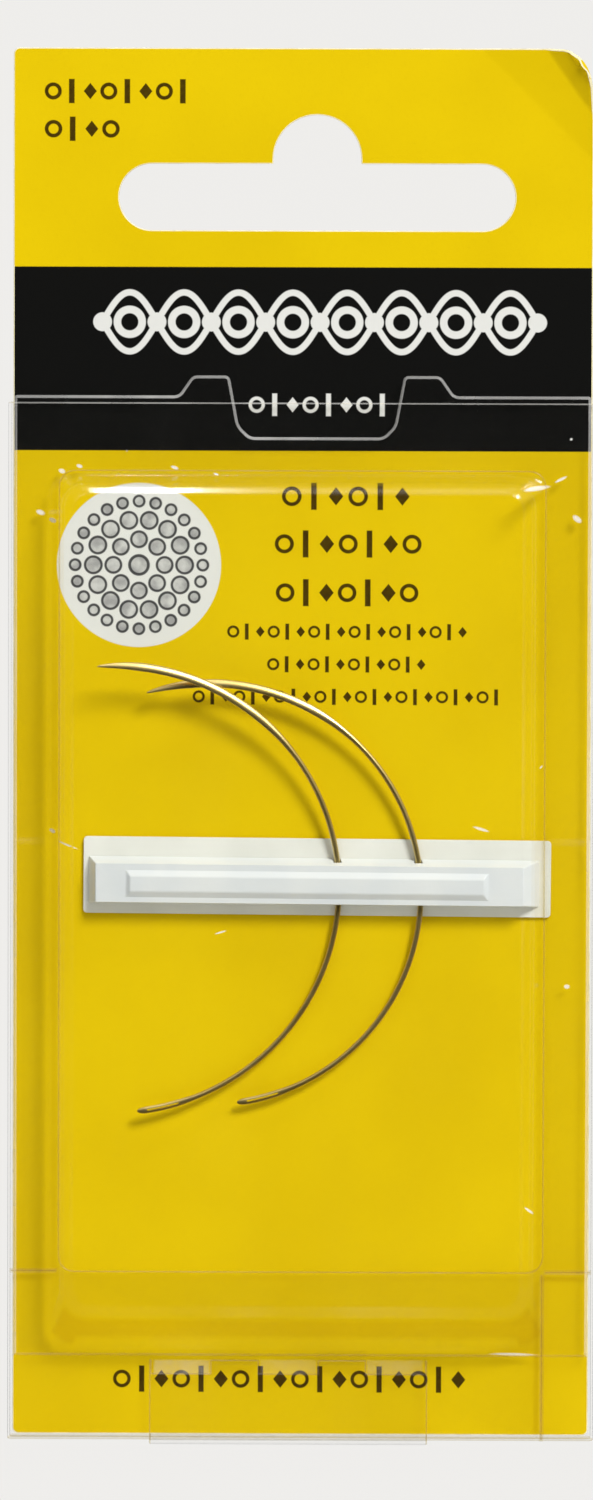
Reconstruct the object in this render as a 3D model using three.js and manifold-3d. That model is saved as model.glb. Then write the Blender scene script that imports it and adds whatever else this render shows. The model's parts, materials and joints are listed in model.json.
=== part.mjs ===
// A retail hanging card that holds a pair of curved beading needles under a hinged clear cover.
// Sizes are in millimetres. X runs to the right across the card, Z runs up it, and the front faces -Y.
// The pieces are laid out from the middle of the card's bottom edge, at half its thickness. The whole
// pack is then hung, so that the origin is the point in the hang slot where a display peg bears.

import * as THREE from 'three';
import { mergeVertices } from 'three/addons/utils/BufferGeometryUtils.js';
import Module from 'manifold-3d';

const { clamp, degToRad, mapLinear, smoothstep } = THREE.MathUtils;
const wasm = await Module();
wasm.setup();

// The printed board card
const cardWidth = 46.2;
const cardHeight = 111;
const cardThickness = 0.5;
const cardCornerRadius = 0.5;
const handledCornerRadius = 2.2;

// The hang slot, a long round-ended slot with a hump over its middle for a single peg
const slotLength = 31.6;
const slotHeight = 5.3;
const slotDrop = 14.5;
const slotOffset = 1.1;
const humpWidth = 7;
const humpRise = 3.9;

// The clear pocket that sleeves the lower part of the card
const pocketSheet = 0.25;
const pocketTop = 82.8;
const pocketSideClearance = 0.15;
const pocketLip = 3.75;
const pocketBendRadius = 0.4;
const windowBottom = 13.2;
const windowTop = 77.3;
const windowCornerRadius = 1.2;

// How loosely the flat leaves lie on each other
const leafGap = 0.06;

// The white needle holder: a thin strip taped to the card, and a raised bar that grips the needles. It
// was stuck on a little askew, its right end low.
const tapeThickness = 0.1;
const tapeMargin = 0.5;
const stripThickness = 0.2;
const stripWidth = 37.4;
const stripHeight = 6.15;
const stripOffset = 1.25;
const stripBottom = 41.82;
const holderTurn = 0.42;
const barWidth = 36.1;
const barHeight = 3.77;
const barDepth = 1.4;
const barStart = 0.4;
const barFootGap = 0.82;
const barGateMargin = 0.2;
const barLeftRun = 0.6;
const barRightRun = 1.3;
const barHeadRun = 0.52;
const barFootRun = 0.15;
const barCornerRadius = 0.25;
const ridgeWidth = 28.9;
const ridgeHeight = 2.16;
const ridgeDepth = 0.3;
const ridgeStart = 2.46;
const ridgeFootGap = 0.42;
const ridgeEndRun = 0.3;
const ridgeLongRun = 0.48;

// The hinged clear cover with its raised cavity
const coverSheet = 0.3;
const coverSideMargin = 0.5;
const coverTop = 83.35;
const coverBottom = 6.4;
const coverCornerRadius = 0.8;
const cavityRoom = 3.95;
const cavityWidth = 39.6;
const cavityOffset = -0.3;
const cavityBottom = 7.2;
const cavityTop = 76.85;
const cavityCornerRadius = 1.8;
const cavitySideRun = 1.4;
const cavityTopRun = 1.1;
const cavityFootRun = 3;

// The thumb notch between two ears in the cover's top edge
const earRise = 1.6;
const earOuterFoot = 11;
const earOuterTop = 9.9;
const earInnerTop = 6.95;
const notchHalfWidth = 5.3;
const notchRun = 0.9;
const notchDrop = 3.3;

// The tongue that carries the cover, folded under the card and up its back
const tongueWidth = 22.3;
const tongueOffset = -0.95;
const tongueHingeGap = 0.3;
const tongueBackHeight = 9;
const tongueBendRadius = 0.35;
const hingeSlotWidth = 4.7;
const hingeSlotHeight = 1.1;
const hingeSlotPitch = 8.6;
const hingeSlotCount = 3;

// The wire of a needle, its point and blade, and its eye
const needleLength = 56;
const needleWire = 0.45;
const needleClearance = 0.12;
const pointLength = 3.5;
const pointFullness = 0.5;
const bladeStart = 37;
const bladeFull = 43;
const bladeWidth = 0.7;
const bladeThickness = 0.3;
const eyeEnd = 4.7;
const eyeLandWidth = 0.56;
const eyeLandThickness = 0.34;
const eyeSlotStart = 0.8;
const eyeSlotLength = 2.6;
const eyeSlotWidth = 0.14;

// Each needle is bent to part of a circle that crosses the holder at its outermost point. The rise is the
// circle's centre above the middle of the strip, and the low end is where the eye end lies on the circle,
// in degrees from the crossing. A lean is how far the needle's plane stands off the card for each
// millimetre to the left of the crossing, or above the centre.
const needleLift = 0.7;
const leftBendRadius = 17.96;
const leftCrossing = 3.06;
const leftRise = -0.955;
const leftLowEndAngle = -84.2;
const leftLeanRatioX = 0.081;
const leftLeanRatioZ = 0.047;
const rightBendRadius = 16.91;
const rightCrossing = 9.56;
const rightRise = -1.355;
const rightLowEndAngle = -82.4;
const rightLeanRatioX = 0.034;
const rightLeanRatioZ = 0.023;

// How finely the round stretches are drawn, and how far from the eye end the first sections stand
const cornerSteps = 5;
const slotSteps = 12;
const needleSides = 12;
const needleStepLength = 1.4;
const pointStepLength = 0.35;
const buttStations = [0, 0.1, 0.3];

// Finishes
const printedBoard = new THREE.MeshStandardMaterial({ color: 0xe9cb05, roughness: 0.45 });
const whiteMoulding = new THREE.MeshStandardMaterial({ color: 0xe6e8da, roughness: 0.5 });
const tapeFilm = new THREE.MeshStandardMaterial({ color: 0xd9d6c8, roughness: 0.7 });
const clearSheet = new THREE.MeshStandardMaterial({
  color: 0xf2f4ee,
  roughness: 0.08,
  transparent: true,
  opacity: 0.25,
});
const platedSteel = new THREE.MeshStandardMaterial({ color: 0xb9b6ae, roughness: 0.25, metalness: 1 });

// Planes that the stacked pieces share, from the card's front forwards and from its back rearwards
const cardFront = -cardThickness / 2;
const cardBack = cardThickness / 2;
const stripBack = cardFront - tapeThickness;
const stripFront = stripBack - stripThickness;
const pocketInnerFront = stripFront - leafGap;
const pocketFront = pocketInnerFront - pocketSheet;
const pocketInnerBack = cardBack + leafGap;
const pocketBack = pocketInnerBack + pocketSheet;
const coverBack = pocketFront - leafGap;
const coverFront = coverBack - coverSheet;
const cavityFront = cardFront - cavityRoom - coverSheet;
const slotBottom = cardHeight - slotDrop;
const hangHeight = slotBottom + slotHeight + humpRise;
const pocketHalfWidth = cardWidth / 2 + pocketSideClearance + pocketSheet;
const pocketInnerBottom = -pocketSideClearance;
const pocketBottom = pocketInnerBottom - pocketSheet;
const stripMiddle = stripBottom + stripHeight / 2;

const needles = [
  {
    name: 'needle_left',
    bendRadius: leftBendRadius,
    centreX: leftCrossing - leftBendRadius,
    centreZ: stripMiddle + leftRise,
    lowEnd: leftLowEndAngle,
    leanX: leftLeanRatioX,
    leanZ: leftLeanRatioZ,
  },
  {
    name: 'needle_right',
    bendRadius: rightBendRadius,
    centreX: rightCrossing - rightBendRadius,
    centreZ: stripMiddle + rightRise,
    lowEnd: rightLowEndAngle,
    leanX: rightLeanRatioX,
    leanZ: rightLeanRatioZ,
  },
];

// Makes a closed geometry into a solid that can be cut and joined
function toSolid(geometry) {
  const bare = geometry.index ? geometry.toNonIndexed() : geometry.clone();
  bare.deleteAttribute('normal');
  bare.deleteAttribute('uv');
  const merged = mergeVertices(bare, 1e-5);
  return new wasm.Manifold(new wasm.Mesh({
    numProp: 3,
    vertProperties: new Float32Array(merged.attributes.position.array),
    triVerts: new Uint32Array(merged.index.array),
  }));
}

function toGeometry(solid) {
  const mesh = solid.getMesh();
  const geometry = new THREE.BufferGeometry();
  geometry.setAttribute('position', new THREE.BufferAttribute(mesh.vertProperties, 3));
  geometry.setIndex(new THREE.BufferAttribute(mesh.triVerts, 1));
  return geometry;
}

function cut(geometry, ...tools) {
  return toGeometry(tools.reduce((solid, tool) => solid.subtract(toSolid(tool)), toSolid(geometry)));
}

function join(geometry, ...others) {
  return toGeometry(others.reduce((solid, other) => solid.add(toSolid(other)), toSolid(geometry)));
}

function span(left, right, bottom, top) {
  return { left, right, bottom, top };
}

function centredSpan(centre, width, bottom, top) {
  return span(centre - width / 2, centre + width / 2, bottom, top);
}

// An outline with a radius at each corner, in the order bottom left, bottom right, top right, top left
function roundedOutline(area, radii, Kind = THREE.Shape) {
  const corners = [
    [area.left, area.bottom, 1, 1],
    [area.right, area.bottom, -1, 1],
    [area.right, area.top, -1, -1],
    [area.left, area.top, 1, -1],
  ];
  const outline = new Kind();
  corners.forEach(([x, y, inX, inY], i) => {
    const radius = radii[i];
    const start = Math.PI * (1 + i / 2);
    if (radius > 0) {
      outline.absarc(x + inX * radius, y + inY * radius, radius, start, start + Math.PI / 2, false);
    } else if (i === 0) {
      outline.moveTo(x, y);
    } else {
      outline.lineTo(x, y);
    }
  });
  return outline;
}

// A plate whose outline is drawn as seen from the front, between a front and a back plane
function plate(outline, front, back, steps = cornerSteps) {
  const geometry = new THREE.ExtrudeGeometry(outline, {
    depth: back - front,
    bevelEnabled: false,
    curveSegments: steps,
  });
  geometry.rotateX(Math.PI / 2);
  geometry.translate(0, back, 0);
  return geometry;
}

function block(area, front, back) {
  const geometry = new THREE.BoxGeometry(area.right - area.left, back - front, area.top - area.bottom);
  geometry.translate((area.left + area.right) / 2, (front + back) / 2, (area.bottom + area.top) / 2);
  return geometry;
}

// A block with sloping sides: its outline is foot at the back plane and face at the front plane
function taperedBlock(foot, face, front, back, cornerRadius) {
  const geometry = plate(roundedOutline(foot, Array(4).fill(cornerRadius)), front, back);
  const position = geometry.attributes.position;
  for (let i = 0; i < position.count; i += 1) {
    if (position.getY(i) < (front + back) / 2) {
      position.setX(i, mapLinear(position.getX(i), foot.left, foot.right, face.left, face.right));
      position.setZ(i, mapLinear(position.getZ(i), foot.bottom, foot.top, face.bottom, face.top));
    }
  }
  return geometry;
}

function inset(area, sides, bottom, top, right = sides) {
  return span(area.left + sides, area.right - right, area.bottom + bottom, area.top - top);
}

function slotOutline() {
  const endRadius = slotHeight / 2;
  const reach = slotLength / 2 - endRadius;
  const slotTop = slotBottom + slotHeight;
  const humpRadius = humpWidth / 2;
  const humpCentre = slotTop + humpRise - humpRadius;
  const outline = new THREE.Path();
  outline.moveTo(slotOffset - reach, slotBottom);
  outline.lineTo(slotOffset + reach, slotBottom);
  outline.absarc(slotOffset + reach, slotBottom + endRadius, endRadius, -Math.PI / 2, Math.PI / 2, false);
  outline.lineTo(slotOffset + humpRadius, slotTop);
  outline.lineTo(slotOffset + humpRadius, humpCentre);
  outline.absarc(slotOffset, humpCentre, humpRadius, 0, Math.PI, false);
  outline.lineTo(slotOffset - humpRadius, slotTop);
  outline.lineTo(slotOffset - reach, slotTop);
  outline.absarc(slotOffset - reach, slotBottom + endRadius, endRadius, Math.PI / 2, 1.5 * Math.PI, false);
  return outline;
}

function backingCard() {
  const area = centredSpan(0, cardWidth, 0, cardHeight);
  const outline = roundedOutline(area, [
    cardCornerRadius,
    cardCornerRadius,
    handledCornerRadius,
    cardCornerRadius,
  ]);
  outline.holes.push(slotOutline());
  return plate(outline, cardFront, cardBack, slotSteps);
}

// A flat sleeve, open at its top and closed at its bottom, with a window in its front leaf
function cardPocket() {
  const outside = span(-pocketHalfWidth, pocketHalfWidth, -pocketBack, -pocketFront);
  const inside = span(
    -pocketHalfWidth + pocketSheet,
    pocketHalfWidth - pocketSheet,
    -pocketInnerBack,
    -pocketInnerFront,
  );
  const bendRadii = Array(4).fill(pocketBendRadius);
  const wall = roundedOutline(outside, bendRadii);
  wall.holes.push(roundedOutline(inside, Array(4).fill(pocketBendRadius - pocketSheet), THREE.Path));
  const sleeve = sleeveLength(wall, pocketInnerBottom, pocketTop);
  const floor = sleeveLength(roundedOutline(outside, bendRadii), pocketBottom, pocketInnerBottom);
  const windowArea = centredSpan(0, cardWidth - 2 * pocketLip, windowBottom, windowTop);
  const windowCutter = plate(
    roundedOutline(windowArea, Array(4).fill(windowCornerRadius)),
    coverBack,
    pocketInnerFront + leafGap / 2,
  );
  return cut(join(sleeve, floor), windowCutter);
}

// Runs a plan outline, drawn from above with the front upwards, from a bottom height to a top height
function sleeveLength(outline, bottom, top) {
  const geometry = new THREE.ExtrudeGeometry(outline, {
    depth: top - bottom,
    bevelEnabled: false,
    curveSegments: cornerSteps,
  });
  geometry.rotateX(Math.PI);
  geometry.translate(0, 0, top);
  return geometry;
}

function coverOutline() {
  const right = pocketHalfWidth - coverSideMargin;
  const earTop = coverTop + earRise;
  const notchBottom = coverTop - notchDrop;
  const area = span(-right, right, coverBottom, coverTop);
  const outline = roundedOutline(area, Array(4).fill(coverCornerRadius));
  const ears = new THREE.Shape([
    new THREE.Vector2(slotOffset - earOuterFoot, coverTop - notchDrop / 2),
    new THREE.Vector2(slotOffset + earOuterFoot, coverTop - notchDrop / 2),
    new THREE.Vector2(slotOffset + earOuterFoot, coverTop),
    new THREE.Vector2(slotOffset + earOuterTop, earTop),
    new THREE.Vector2(slotOffset - earOuterTop, earTop),
    new THREE.Vector2(slotOffset - earOuterFoot, coverTop),
  ]);
  const notch = new THREE.Shape([
    new THREE.Vector2(slotOffset - notchHalfWidth, notchBottom),
    new THREE.Vector2(slotOffset + notchHalfWidth, notchBottom),
    new THREE.Vector2(slotOffset + notchHalfWidth + notchRun, notchBottom + notchRun),
    new THREE.Vector2(slotOffset + earInnerTop, earTop),
    new THREE.Vector2(slotOffset + earInnerTop, earTop + earRise),
    new THREE.Vector2(slotOffset - earInnerTop, earTop + earRise),
    new THREE.Vector2(slotOffset - earInnerTop, earTop),
    new THREE.Vector2(slotOffset - notchHalfWidth - notchRun, notchBottom + notchRun),
  ]);
  return { outline, ears, notch };
}

// A thin formed sheet: a flat flange round a raised cavity with drafted walls
function blisterCover() {
  const { outline, ears, notch } = coverOutline();
  const flange = cut(
    join(plate(outline, coverFront, coverBack), plate(ears, coverFront, coverBack)),
    plate(notch, coverFront - coverSheet, coverBack + coverSheet),
  );
  const foot = centredSpan(cavityOffset, cavityWidth, cavityBottom, cavityTop);
  const face = inset(foot, cavitySideRun, cavityFootRun, cavityTopRun);
  const outer = taperedBlock(foot, face, cavityFront, coverFront + coverSheet / 2, cavityCornerRadius);
  const innerFoot = inset(foot, coverSheet, coverSheet, coverSheet);
  const innerFace = inset(face, coverSheet, coverSheet, coverSheet);
  const inner = taperedBlock(
    innerFoot,
    innerFace,
    cavityFront + coverSheet,
    coverBack + leafGap / 2,
    cavityCornerRadius - coverSheet,
  );
  return cut(join(flange, outer), inner);
}

// A strip folded to a U round the bottom of the pocket. Its front leg ends at the hinge line, where a
// row of short slots leaves only narrow webs of sheet to bend.
function hingeTongue() {
  const back = pocketBack + leafGap + coverSheet;
  const bottom = pocketBottom - leafGap - coverSheet;
  const frontTop = coverBottom - tongueHingeGap;
  const innerBend = tongueBendRadius - coverSheet;
  const bent = plateAcross(roundedOutline(
    span(coverFront, back, bottom, frontTop),
    [tongueBendRadius, tongueBendRadius, 0, 0],
  ));
  const hollow = plateAcross(roundedOutline(
    span(coverBack, back - coverSheet, bottom + coverSheet, frontTop + coverSheet),
    [innerBend, innerBend, 0, 0],
  ));
  const backLeg = block(
    centredSpan(tongueOffset, tongueWidth, frontTop - coverSheet, tongueBackHeight),
    back - coverSheet,
    back,
  );
  const slots = [];
  for (let i = 0; i < hingeSlotCount; i += 1) {
    const centre = tongueOffset + (i - (hingeSlotCount - 1) / 2) * hingeSlotPitch;
    const area = centredSpan(centre, hingeSlotWidth, frontTop - hingeSlotHeight, frontTop + coverSheet);
    slots.push(block(area, coverFront - coverSheet, coverBack + leafGap / 2));
  }
  return join(cut(bent, hollow, ...slots), backLeg);
}

// Runs a side section, drawn with Y to the right and Z upwards, across the width of the tongue
function plateAcross(section) {
  const geometry = new THREE.ExtrudeGeometry(section, {
    depth: tongueWidth,
    bevelEnabled: false,
    curveSegments: cornerSteps,
  });
  geometry.rotateZ(Math.PI / 2);
  geometry.rotateY(Math.PI / 2);
  geometry.translate(tongueOffset - tongueWidth / 2, 0, 0);
  return geometry;
}

const stripArea = centredSpan(stripOffset, stripWidth, stripBottom, stripBottom + stripHeight);

// Turns a piece of the holder about the middle of the strip, as it was stuck on
function askew(geometry) {
  geometry.translate(-stripOffset, 0, -stripMiddle);
  geometry.rotateY(degToRad(holderTurn));
  geometry.translate(stripOffset, 0, stripMiddle);
  return geometry;
}

function holderTape() {
  return askew(block(inset(stripArea, tapeMargin, tapeMargin, tapeMargin), stripBack, cardFront));
}

function holderStrip() {
  return askew(plate(roundedOutline(stripArea, Array(4).fill(barCornerRadius)), stripFront, stripBack));
}

// The room that a needle needs to slide through the bar, from the strip forwards
function channelFor(needle, barArea) {
  const bottom = barArea.bottom - barGateMargin;
  const top = barArea.top + barGateMargin;
  const offset = Math.max(barArea.top - needle.centreZ, needle.centreZ - barArea.bottom);
  const sagitta = needle.bendRadius - Math.sqrt(needle.bendRadius ** 2 - offset ** 2);
  const outermost = needle.centreX + needle.bendRadius;
  const room = needleWire / 2 + needleClearance;
  const lift = needleLift + needle.leanX * sagitta + Math.abs(needle.leanZ) * offset;
  return block(
    span(outermost - sagitta - room, outermost + room, bottom, top),
    cardFront - lift - room,
    stripFront + stripThickness / 2,
  );
}

function holderBar() {
  const left = stripArea.left + barStart;
  const bottom = stripArea.bottom + barFootGap;
  const foot = span(left, left + barWidth, bottom, bottom + barHeight);
  const face = inset(foot, barLeftRun, barFootRun, barHeadRun, barRightRun);
  const front = stripFront - barDepth;
  const ridgeLeft = face.left + ridgeStart;
  const ridgeBottom = face.bottom + ridgeFootGap;
  const ridgeFoot = span(ridgeLeft, ridgeLeft + ridgeWidth, ridgeBottom, ridgeBottom + ridgeHeight);
  const ridge = taperedBlock(
    ridgeFoot,
    inset(ridgeFoot, ridgeEndRun, ridgeLongRun, ridgeLongRun),
    front - ridgeDepth,
    front + ridgeDepth / 2,
    barCornerRadius,
  );
  const body = askew(join(taperedBlock(foot, face, front, stripFront, barCornerRadius), ridge));
  return cut(body, ...needles.map((needle) => channelFor(needle, foot)));
}

// The needle's half width and half thickness at a distance from its eye end
function needleSection(along) {
  const wire = needleWire / 2;
  const eye = 1 - smoothstep(along, eyeSlotStart + eyeSlotLength, eyeEnd);
  const blade = smoothstep(along, bladeStart, bladeFull);
  const tip = clamp((needleLength - along) / pointLength, 0, 1);
  const butt = clamp(along / eyeSlotStart, 0, 1);
  const narrowing = Math.sqrt(butt * (2 - butt)) * tip ** pointFullness;
  const width = wire + eye * (eyeLandWidth / 2 - wire) + blade * (bladeWidth / 2 - wire);
  const thickness = wire + eye * (eyeLandThickness / 2 - wire) + blade * (bladeThickness / 2 - wire);
  return { width: width * narrowing, thickness: thickness * narrowing };
}

function needleStations() {
  const stations = [...buttStations];
  for (let along = eyeSlotStart; along < needleLength - pointLength; along += needleStepLength) {
    stations.push(along);
  }
  for (let along = needleLength - pointLength; along < needleLength; along += pointStepLength) {
    stations.push(along);
  }
  return [...stations, needleLength];
}

// A turned blank, flattened at its blade and its eye, slotted, and bent to its circle. The circle lies in
// the local XY plane with its centre at the local origin, and Z is the way the needle's face looks.
function curvedNeedle(needle) {
  const profile = needleStations().map((along) => new THREE.Vector2(
    along === 0 || along === needleLength ? 0 : 1,
    along,
  ));
  const blank = new THREE.LatheGeometry(profile, needleSides);
  const position = blank.attributes.position;
  for (let i = 0; i < position.count; i += 1) {
    const section = needleSection(position.getY(i));
    position.setX(i, position.getX(i) * section.width);
    position.setZ(i, position.getZ(i) * section.thickness);
  }
  const eyeSlot = new THREE.BoxGeometry(eyeSlotWidth, eyeSlotLength, needleWire * 2);
  eyeSlot.translate(0, eyeSlotStart + eyeSlotLength / 2, 0);
  const slotted = cut(blank, eyeSlot);
  const bent = slotted.attributes.position;
  for (let i = 0; i < bent.count; i += 1) {
    const angle = degToRad(needle.lowEnd) + bent.getY(i) / needle.bendRadius;
    const radius = needle.bendRadius + bent.getX(i);
    bent.setXYZ(i, radius * Math.cos(angle), radius * Math.sin(angle), bent.getZ(i));
  }
  return slotted;
}

// The leaning plane that a needle lies in, with its origin at the middle of the needle's circle
function needleFrame(needle) {
  const face = new THREE.Vector3(needle.leanX, -1, -needle.leanZ).normalize();
  const up = new THREE.Vector3().crossVectors(face, new THREE.Vector3(1, 0, 0)).normalize();
  const across = new THREE.Vector3().crossVectors(up, face);
  const frame = new THREE.Group();
  frame.quaternion.setFromRotationMatrix(new THREE.Matrix4().makeBasis(across, up, face));
  frame.position.set(
    needle.centreX,
    cardFront - needleLift - needle.leanX * needle.bendRadius,
    needle.centreZ,
  );
  return frame;
}

function piece(name, geometry, material) {
  const mesh = new THREE.Mesh(geometry, material);
  mesh.name = name;
  return mesh;
}

const group = new THREE.Group();
group.position.set(-slotOffset, 0, -hangHeight);
group.add(
  piece('backing_card', backingCard(), printedBoard),
  piece('card_pocket', cardPocket(), clearSheet),
  piece('hinge_tongue', hingeTongue(), clearSheet),
  piece('blister_cover', blisterCover(), clearSheet),
  piece('holder_tape', holderTape(), tapeFilm),
  piece('holder_strip', holderStrip(), whiteMoulding),
  piece('holder_bar', holderBar(), whiteMoulding),
);
for (const needle of needles) {
  const frame = needleFrame(needle);
  frame.add(piece(needle.name, curvedNeedle(needle), platedSteel));
  group.add(frame);
}

export default group;
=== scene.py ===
# %% [markdown]
# # A hanging card with two curved beading needles
#
# The real object is a small retail pack. A printed board card sits in a clear pocket, a formed clear
# cover is hinged to the pocket's foot, and under the cover a white bar grips two needles that are bent
# to half circles. Everything here is built round the CAD frame, in metres, with the origin where a
# display peg bears in the hang slot, Z up and the front towards -Y.

# %% The frame
import json
import math
from contextlib import contextmanager
from functools import reduce

import bmesh
import bpy
from mathutils import Matrix, Vector

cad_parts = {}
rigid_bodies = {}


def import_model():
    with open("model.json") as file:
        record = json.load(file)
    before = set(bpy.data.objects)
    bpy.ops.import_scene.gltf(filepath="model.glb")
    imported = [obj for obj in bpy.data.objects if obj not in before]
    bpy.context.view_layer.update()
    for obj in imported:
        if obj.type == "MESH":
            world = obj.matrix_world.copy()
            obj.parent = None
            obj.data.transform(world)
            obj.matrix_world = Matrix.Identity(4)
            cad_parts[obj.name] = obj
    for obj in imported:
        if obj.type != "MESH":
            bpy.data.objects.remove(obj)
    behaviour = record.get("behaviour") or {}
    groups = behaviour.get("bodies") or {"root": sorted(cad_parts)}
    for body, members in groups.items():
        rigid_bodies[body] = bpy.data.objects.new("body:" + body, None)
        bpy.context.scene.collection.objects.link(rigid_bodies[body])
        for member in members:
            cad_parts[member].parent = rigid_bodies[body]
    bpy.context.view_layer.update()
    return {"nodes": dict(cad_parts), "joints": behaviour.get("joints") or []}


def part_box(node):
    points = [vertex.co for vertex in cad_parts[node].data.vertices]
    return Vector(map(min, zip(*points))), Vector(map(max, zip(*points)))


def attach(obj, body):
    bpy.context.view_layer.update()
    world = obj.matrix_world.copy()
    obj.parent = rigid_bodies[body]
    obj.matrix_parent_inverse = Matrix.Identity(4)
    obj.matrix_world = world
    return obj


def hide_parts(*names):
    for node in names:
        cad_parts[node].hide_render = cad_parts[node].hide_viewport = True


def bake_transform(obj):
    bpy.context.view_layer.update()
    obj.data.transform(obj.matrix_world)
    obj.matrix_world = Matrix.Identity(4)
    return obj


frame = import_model()
scene = bpy.context.scene

# %% [markdown]
# ## Places on the card
#
# The pack is laid out like a page, so places are given in millimetres from the middle of the card's
# foot: across to the right and up. Small functions turn them into the frame's metres and back. That
# keeps the numbers readable, and they follow the card if the frame moves.

# %% Page places
MM = 0.001
card_low, card_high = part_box("backing_card")
PAGE_MIDDLE = (card_low.x + card_high.x) / 2
PAGE_FOOT = card_low.z


def across(x):
    return PAGE_MIDDLE + x * MM


def up(z):
    return PAGE_FOOT + z * MM


def from_middle(place, middle_x=0):
    """How far a place is from an upright line on the page, in millimetres."""
    return abs(place.x - across(middle_x)) / MM


print("card in mm:", [round(v / MM, 2) for v in (card_high - card_low)])

# %% [markdown]
# ## The camera
#
# The photograph was taken from straight in front and a little above. A long lens keeps the card's
# sides nearly parallel, as they are there. The camera stands back from its target and is turned about
# it three times: round the pack, up, and by the small roll that a hand-held picture has.

# %% Camera
CAMERA_AZIMUTH, CAMERA_ELEVATION, CAMERA_ROLL = 0.5, 3.1, 0.169
CAMERA_DISTANCE = 0.7
CAMERA_LENS, CAMERA_SENSOR = 210, 36
CAMERA_TARGET = Vector((-1.533, 0, -50.678)) * MM


def make_camera():
    lens = bpy.data.cameras.new("photo_camera")
    lens.sensor_width = CAMERA_SENSOR
    lens.lens = CAMERA_LENS
    camera = bpy.data.objects.new("photo_camera", lens)
    scene.collection.objects.link(camera)
    place = Matrix.Translation(CAMERA_TARGET)
    for degrees, axis in ((CAMERA_AZIMUTH, "Z"), (90 - CAMERA_ELEVATION, "X"), (CAMERA_ROLL, "Z")):
        place @= Matrix.Rotation(math.radians(degrees), 4, axis)
    camera.matrix_world = place @ Matrix.Translation((0, 0, CAMERA_DISTANCE))
    scene.camera = camera
    return camera


camera = make_camera()
scene.view_settings.view_transform = "Standard"
scene.cycles.transparent_max_bounces = 32
print("camera at", [round(v, 4) for v in camera.location])

# %% [markdown]
# ## Writing materials as sums
#
# A printed card is mostly arithmetic: this ink where a point is inside a band, that one elsewhere.
# Wiring such sums by hand takes hundreds of lines, so a Wire stands for one output of a node, and
# adding or multiplying wires adds the Math nodes. A Recipe is one material, or the world, and its node
# method makes any other node. Patterns read Object coordinates, so they are as big as on the card.

# %% Wires and recipes
def maths(operation, reflected=False):
    """A method that adds one Math node, with the wire as its first value or its last."""
    def method(self, *others):
        values = (*others, self) if reflected else (self, *others)
        return self.recipe.node("ShaderNodeMath", dict(enumerate(values)), operation=operation)
    return method


class Wire:
    def __init__(self, recipe, socket):
        self.recipe = recipe
        self.socket = socket

    __add__, __radd__ = maths("ADD"), maths("ADD", True)
    __sub__, __rsub__ = maths("SUBTRACT"), maths("SUBTRACT", True)
    __mul__, __rmul__ = maths("MULTIPLY"), maths("MULTIPLY", True)
    __truediv__, __rtruediv__ = maths("DIVIDE"), maths("DIVIDE", True)
    __pow__, __abs__ = maths("POWER"), maths("ABSOLUTE")
    floor, fraction, root = maths("FLOOR"), maths("FRACT"), maths("SQRT")
    sine, cosine, angle_over = maths("SINE"), maths("COSINE"), maths("ARCTAN2")
    greater, lesser, above = maths("MAXIMUM"), maths("MINIMUM"), maths("GREATER_THAN")

    def clamped(self):
        return self.recipe.node("ShaderNodeClamp", {0: self})

    def ranged(self, low, high, to_low=0, to_high=1):
        inputs = {0: self, 1: low, 2: high, 3: to_low, 4: to_high}
        return self.recipe.node("ShaderNodeMapRange", inputs, interpolation_type="SMOOTHSTEP")


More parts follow.
